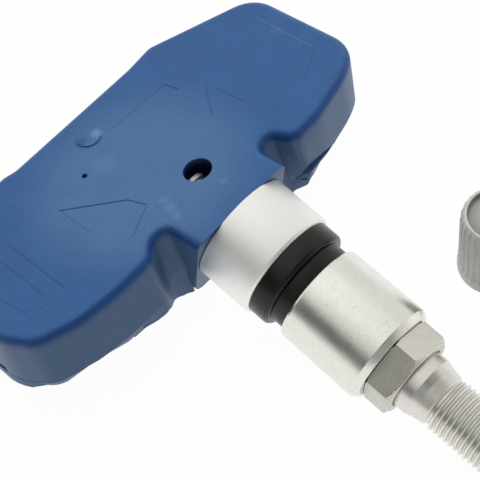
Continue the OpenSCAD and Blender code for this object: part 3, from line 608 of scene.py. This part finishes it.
def hexNut():
    bm = bmesh.new()
    ring = bmesh.ops.create_circle(bm, cap_ends=False, radius=1.0 * mm, segments=nut["steps"])["verts"]
    bmesh.ops.translate(bm, verts=ring, vec=(0, 0, nut["start"] * mm))
    edges = list(bm.edges)
    half = nut["af"] / 2
    coneR = half / math.cos(math.radians(30)) + nut["coneOver"]
    heights = [nut["height"] * k / nut["levels"] for k in range(nut["levels"] + 1)]
    levels = [ring]
    for z in heights[1:]:
        made = bmesh.ops.extrude_edge_only(bm, edges=edges)["geom"]
        verts = [g for g in made if isinstance(g, bmesh.types.BMVert)]
        edges = [g for g in made if isinstance(g, bmesh.types.BMEdge)]
        for v in verts:
            v.co.z = (nut["start"] + z) * mm
        levels.append(verts)
    for z, verts in zip(heights, levels):
        cones = []
        for (past, length), away in ((nut["backCone"], z), (nut["frontCone"], nut["height"] - z)):
            rim = half + past
            cones.append(rim + away * (coneR - rim) / length)
        for v in verts:
            angle = math.degrees(math.atan2(v.co.y, v.co.x)) - nut["turn"]
            setRadius(v, min(half / math.cos(math.radians(angle % 60 - 30)), *cones))
    rims = [e for e in bm.edges if e.is_boundary]
    made = bmesh.ops.extrude_edge_only(bm, edges=rims)["geom"]
    for v in (g for g in made if isinstance(g, bmesh.types.BMVert)):
        setRadius(v, nut["boreR"])
    rims = [e for e in bm.edges if e.is_boundary]
    bmesh.ops.bridge_loops(bm, edges=rims)
    return bm


def nutFinish():
    bench = MaterialBench("nutMetal")
    here = bench.valvePlace()
    x, y, z = bench.parts(here)
    facing = math.radians(nut["turn"] + 30)  # this pair of flats is smoother than the others
    reach = abs(x * math.cos(facing) + y * math.sin(facing))
    half = nut["af"] / 2
    lined = reach.ramp(half - nut["smoothTo"], half - nut["smoothFrom"]) * 0.9 + 0.1
    wave = (z * (2 * math.pi / nut["wavePitch"]) + bench.noise(here, 0.8) * nut["waveStray"]).math("SINE")
    scratch = bench.noise(bench.join(x * 0.05, y * 0.05, z * 3.0), 1.0, 2.0, 0.6)
    scuffs = bench.noise(here, 0.9, 3.0, 0.6)
    tone = bench.mixColour(scuffs.ramp(0.3, 0.7), tinted(nut["colour"], 0.92), nut["colour"])
    tone = bench.mixColour(lined * (0.8 - wave.ramp(-0.6, 0.6) * 0.6), tone, tinted(nut["colour"], 0.5))
    normal = bench.bump(wave * lined * 0.6 + scratch * 0.5, nut["depth"], turned["bump"])
    return bench.finish(Base_Color=tone, Metallic=1.0, Roughness=scuffs * 0.1 + nut["rough"], Normal=normal)


meshPiece("hexNut", hexNut(), "nut", nutFinish(), ["hex_nut"], 24, valveToRow)
print("sensor: grommet, sleeve and nut done")

# dust cap, ribbed, standing on its open end
cap = {
    "x": 22.1, "y": -13.0, "d": 9.7, "h": 12.8, "boreR": 3.9, "topT": 1.8,
    "mouthMore": 0.3, "mouthTaper": 0.5,
    "foot": [(0.1, 0), (0, 0.3), (0.1, 1.7), (0.4, 2.2)],  # how far in from the outside, and height
    "rim": [(0.45, 1.4), (0.55, 0.3), (0.75, 0), (1.05, 0.05), (1.2, 0.8)],  # how far in, depth from the top
    "dish": [(1.6, 0.35), (0, 0.25)],  # radius, depth from the top
    "corners": {1: 0.15, 2: 0.5, 3: 0.4, 5: 0.12, 6: 0.12, 7: 0.1, 8: 0.15, 9: 1.2},
    "ribs": 28, "ribStand": 0.27, "ribPower": 0.7, "ribStart": 1.2, "ribStop": 0.2, "ribFade": (1.2, 0.3),
    "colour": linear(200, 201, 194), "rough": 0.36, "shine": 0.35,
    "dishIn": 1.0, "dishZ": (1.2, 1.0), "dishShadeTone": 0.35,  # the dish's shade: its rim, depths, tone
}


def dustCap():
    outerR, h, boreR = cap["d"] / 2, cap["h"], cap["boreR"]
    outline = [(outerR - inset, z) for inset, z in cap["foot"]]
    outline += [(outerR - inset, h - depth) for inset, depth in cap["rim"]]
    outline += [(r, h - depth) for r, depth in cap["dish"]]
    bore = [(0, h - cap["topT"]), (boreR, h - cap["topT"]), (boreR, cap["mouthTaper"]),
            (boreR + cap["mouthMore"], 0)]
    bm = spunSolid(bore + rounded(outline, cap["corners"]), cap["ribs"] * 8)
    low, high = cap["ribStart"], h - cap["ribStop"]
    lowFade, highFade = cap["ribFade"]
    for v in bm.verts:
        z = v.co.z / mm
        r = math.hypot(v.co.x, v.co.y) / mm
        if r > boreR + cap["mouthMore"] - 0.05 and low < z < high:
            rib = max(0, math.cos(cap["ribs"] * math.atan2(v.co.y, v.co.x))) ** cap["ribPower"]
            fade = min(1, (z - low) / lowFade) * min(1, (high - z) / highFade)
            setRadius(v, r + cap["ribStand"] * rib * fade)
    return bm


def capFinish():  # its dished top gets painted shade, most of all towards the rim
    bench = MaterialBench("capPlastic")
    here = bench.place()
    x, y, z = bench.parts(here)
    away = bench.away(x, y, cap["x"], cap["y"])
    rimR = cap["d"] / 2 - cap["dishIn"]
    topZ = lay["tableZ"] + cap["h"]
    dish = away.ramp(rimR + 0.05, rimR - 0.1) * z.ramp(topZ - cap["dishZ"][0], topZ - cap["dishZ"][1])
    cloud, grain = cloudAndGrain(bench, here)
    tone = bench.mixColour(cloud.ramp(0.3, 0.7), tinted(cap["colour"], 0.92), cap["colour"])
    shade = dish * (away.ramp(0.8, rimR) * 0.5 + 0.33)
    tone = bench.mixColour(shade, tone, tinted(cap["colour"], cap["dishShadeTone"]))
    normal = bench.bump(grain, 0.25, plain["bump"])
    return bench.finish(Base_Color=tone, Roughness=grain * 0.12 + cap["rough"], Normal=normal,
                        Specular_IOR_Level=cap["shine"])


meshPiece("dustCap", dustCap(), "sensor", capFinish(), ["valve_cap"], 40,
          Matrix.Translation((cap["x"] * mm, cap["y"] * mm, lay["tableZ"] * mm)))
print("sensor: cap done")

# the inner solids keep their CAD shape: finish name, colour, roughness, metal
innerFinishes = {
    "potting_bed": ("pottingResin", (40, 40, 43), 0.35, 0.0),
    "circuit_board": ("boardGreen", (30, 92, 60), 0.35, 0.0),
    "pressure_sensor": ("sensorBlack", (38, 38, 41), 0.5, 0.0),
    "sensor_port_seal": ("sealSilicone", (196, 196, 188), 0.55, 0.0),
    "control_chip": ("chipBlack", (34, 34, 36), 0.5, 0.0),
    "transmitter_chip": ("radioBlack", (36, 36, 39), 0.5, 0.0),
    "crystal_can": ("crystalSteel", (205, 204, 200), 0.25, 1.0),
    "wake_coil_core": ("coilFerrite", (52, 50, 50), 0.6, 0.0),
    "wake_coil_winding": ("coilCopper", (190, 112, 66), 0.35, 1.0),
    "motion_switch": ("switchGilt", (206, 190, 140), 0.3, 1.0),
    "antenna_loop": ("antennaCopper", (196, 122, 76), 0.3, 1.0),
    "capacitors": ("capacitorCeramic", (158, 128, 92), 0.5, 0.0),
    "battery_cell": ("cellSteel", (204, 204, 204), 0.28, 1.0),
    "battery_tab_top": ("tabSteelTop", (200, 198, 190), 0.32, 1.0),
    "battery_tab_bottom": ("tabSteelBottom", (200, 198, 190), 0.32, 1.0),
    "threaded_insert": ("insertBrass", (204, 170, 96), 0.3, 1.0),
    "stem_seal": ("ringRubber", (32, 32, 32), 0.55, 0.0),
    "core_body": ("coreBrass", (208, 174, 100), 0.28, 1.0),
    "core_gasket": ("gasketRed", (170, 48, 38), 0.5, 0.0),
    "core_pin": ("pinBrass", (212, 182, 112), 0.25, 1.0),
    "core_seal": ("poppetRubber", (34, 34, 34), 0.55, 0.0),
    "cap_seal": ("washerRubber", (36, 36, 36), 0.55, 0.0),
}
for node, (name, colour, rough, metal) in innerFinishes.items():
    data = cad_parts[node].data
    data.materials.clear()
    data.materials.append(plainFinish(name, linear(*colour), rough, metal))

# the valve core's spring, which in the real valve shortens as the pin goes in: here a merged copy with a mesh
# of its own
springPiece = meshPiece("coreSpring", copiedSolid("core_spring"), "sensor",
                        plainFinish("springSteel", linear(190, 190, 194), 0.25, 1.0),
                        ["core_spring"], 60)
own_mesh(springPiece)
print("sensor: inner finishes done")

# floor, world, lamps and camera
studio = {
    "floorSize": 1.5, "floorGap": 0.02, "floorGrey": 0.86, "floorRough": 0.9,
    "glow": 0.3, "seenGlow": 0.67,  # the floor's share of plain white, and what camera and mirrors see more
    "base": 0.84, "softShare": 0.85,  # the world's strength, and what matt surfaces get of it
    # direction, angle where the full amount is reached, angle where it ends, amount
    "sides": [((0.15, 0.36, 0.93), 12, 45, 0.25), ((-0.84, 0.36, 0.4), 9, 29, -0.62),
              ((0.25, -0.6, 0.76), 12, 42, -0.5), ((-0.65, -0.72, 0.2), 15, 70, -0.5)],
    "lampSize": 0.4,
    "lamps": {"keyLamp": ((0.12, 0.3, 0.6), 1.6), "fillLamp": ((0.5, 0.05, 0.3), 0.8)},  # place, watts
}


def studioFloor():  # white, with the object's shadow
    bm = bmesh.new()
    bmesh.ops.create_grid(bm, x_segments=1, y_segments=1, size=studio["floorSize"])
    bmesh.ops.translate(bm, verts=bm.verts, vec=(0, 0, (lay["tableZ"] - studio["floorGap"]) * mm))
    mesh = bpy.data.meshes.new("studioFloor")
    bm.to_mesh(mesh)
    bm.free()
    floor = bpy.data.objects.new("studioFloor", mesh)
    bpy.context.scene.collection.objects.link(floor)
    bench = MaterialBench("floorWhite")
    bench.finish(Base_Color=(studio["floorGrey"],) * 3, Roughness=studio["floorRough"],
                 Specular_IOR_Level=0.0)
    rays = bench.add("ShaderNodeLightPath", {}, {})
    mirrored = rays.output("Is Glossy Ray").most(rays.output("Is Transmission Ray"))
    seen = rays.output("Is Camera Ray").most(mirrored)
    white = bench.add("ShaderNodeEmission", {}, {"Color": (1, 1, 1), "Strength": 1.0})
    surface = bench.add("ShaderNodeMixShader", {}, {0: seen * studio["seenGlow"] + studio["glow"],
                                                    1: Wire(bench, bench.shader.outputs[0]), 2: white})
    bench.plug(bench.tree.nodes["Material Output"].inputs["Surface"], surface)
    mesh.materials.append(bench.material)


def studioWorld():  # brighter above, darker to the left and towards the front
    world = bpy.data.worlds.new("studioWorld")
    bpy.context.scene.world = world
    world.use_nodes = True
    world.node_tree.nodes.clear()
    bench = MaterialBench(tree=world.node_tree)
    way = bench.add("ShaderNodeTexCoord", {}, {}, "Generated")
    light = studio["base"]
    for aim, near, far, amount in studio["sides"]:
        toward = tuple(Vector(aim).normalized())
        turn = bench.add("ShaderNodeVectorMath", {"operation": "DOT_PRODUCT"}, {0: way, 1: toward}, "Value")
        light = turn.ramp(math.cos(math.radians(far)), math.cos(math.radians(near))) * amount + light
    rays = bench.add("ShaderNodeLightPath", {}, {})
    softer = light * studio["softShare"]
    soft = bench.add("ShaderNodeBackground", {}, {"Color": (1, 1, 1), "Strength": softer})
    gloss = bench.add("ShaderNodeBackground", {}, {"Color": (1, 1, 0.98), "Strength": light})
    white = bench.add("ShaderNodeBackground", {}, {"Color": (1, 1, 1), "Strength": 1.0})
    lit = bench.add("ShaderNodeMixShader", {}, {0: rays.output("Is Glossy Ray"), 1: soft, 2: gloss})
    seen = bench.add("ShaderNodeMixShader", {}, {0: rays.output("Is Camera Ray"), 1: lit, 2: white})
    bench.add("ShaderNodeOutputWorld", {}, {"Surface": seen})


def studioLamp(name, spot, power):  # a round lamp that shines at the origin
    data = bpy.data.lights.new(name, "AREA")
    data.shape = "DISK"
    data.size = studio["lampSize"]
    data.energy = power
    lamp = bpy.data.objects.new(name, data)
    lamp.location = spot
    lamp.rotation_euler = (-Vector(spot)).to_track_quat("-Z", "Y").to_euler()
    lamp.visible_glossy = False  # the metal mirrors the world and the floor, not the lamps
    bpy.context.scene.collection.objects.link(lamp)


studioFloor()
studioWorld()
for name, (spot, power) in studio["lamps"].items():
    studioLamp(name, spot, power)

# the photograph's viewpoint: millimetres, degrees
view = {
    "spot": (-85.454, -91.134, 223.841), "turn": (30.362, 4.2554, -46.8708),
    "lens": 149.787, "sensor": 36, "nearest": 10,
}
cameraData = bpy.data.cameras.new("photoCamera")
cameraData.lens = view["lens"]
cameraData.sensor_width = view["sensor"]
cameraData.sensor_fit = "HORIZONTAL"
cameraData.clip_start = view["nearest"] * mm
camera = bpy.data.objects.new("photoCamera", cameraData)
camera.location = [c * mm for c in view["spot"]]
camera.rotation_euler = [math.radians(a) for a in view["turn"]]
bpy.context.scene.collection.objects.link(camera)
bpy.context.scene.camera = camera
bpy.context.scene.view_settings.view_transform = "Standard"

print("sensor: scene ready")
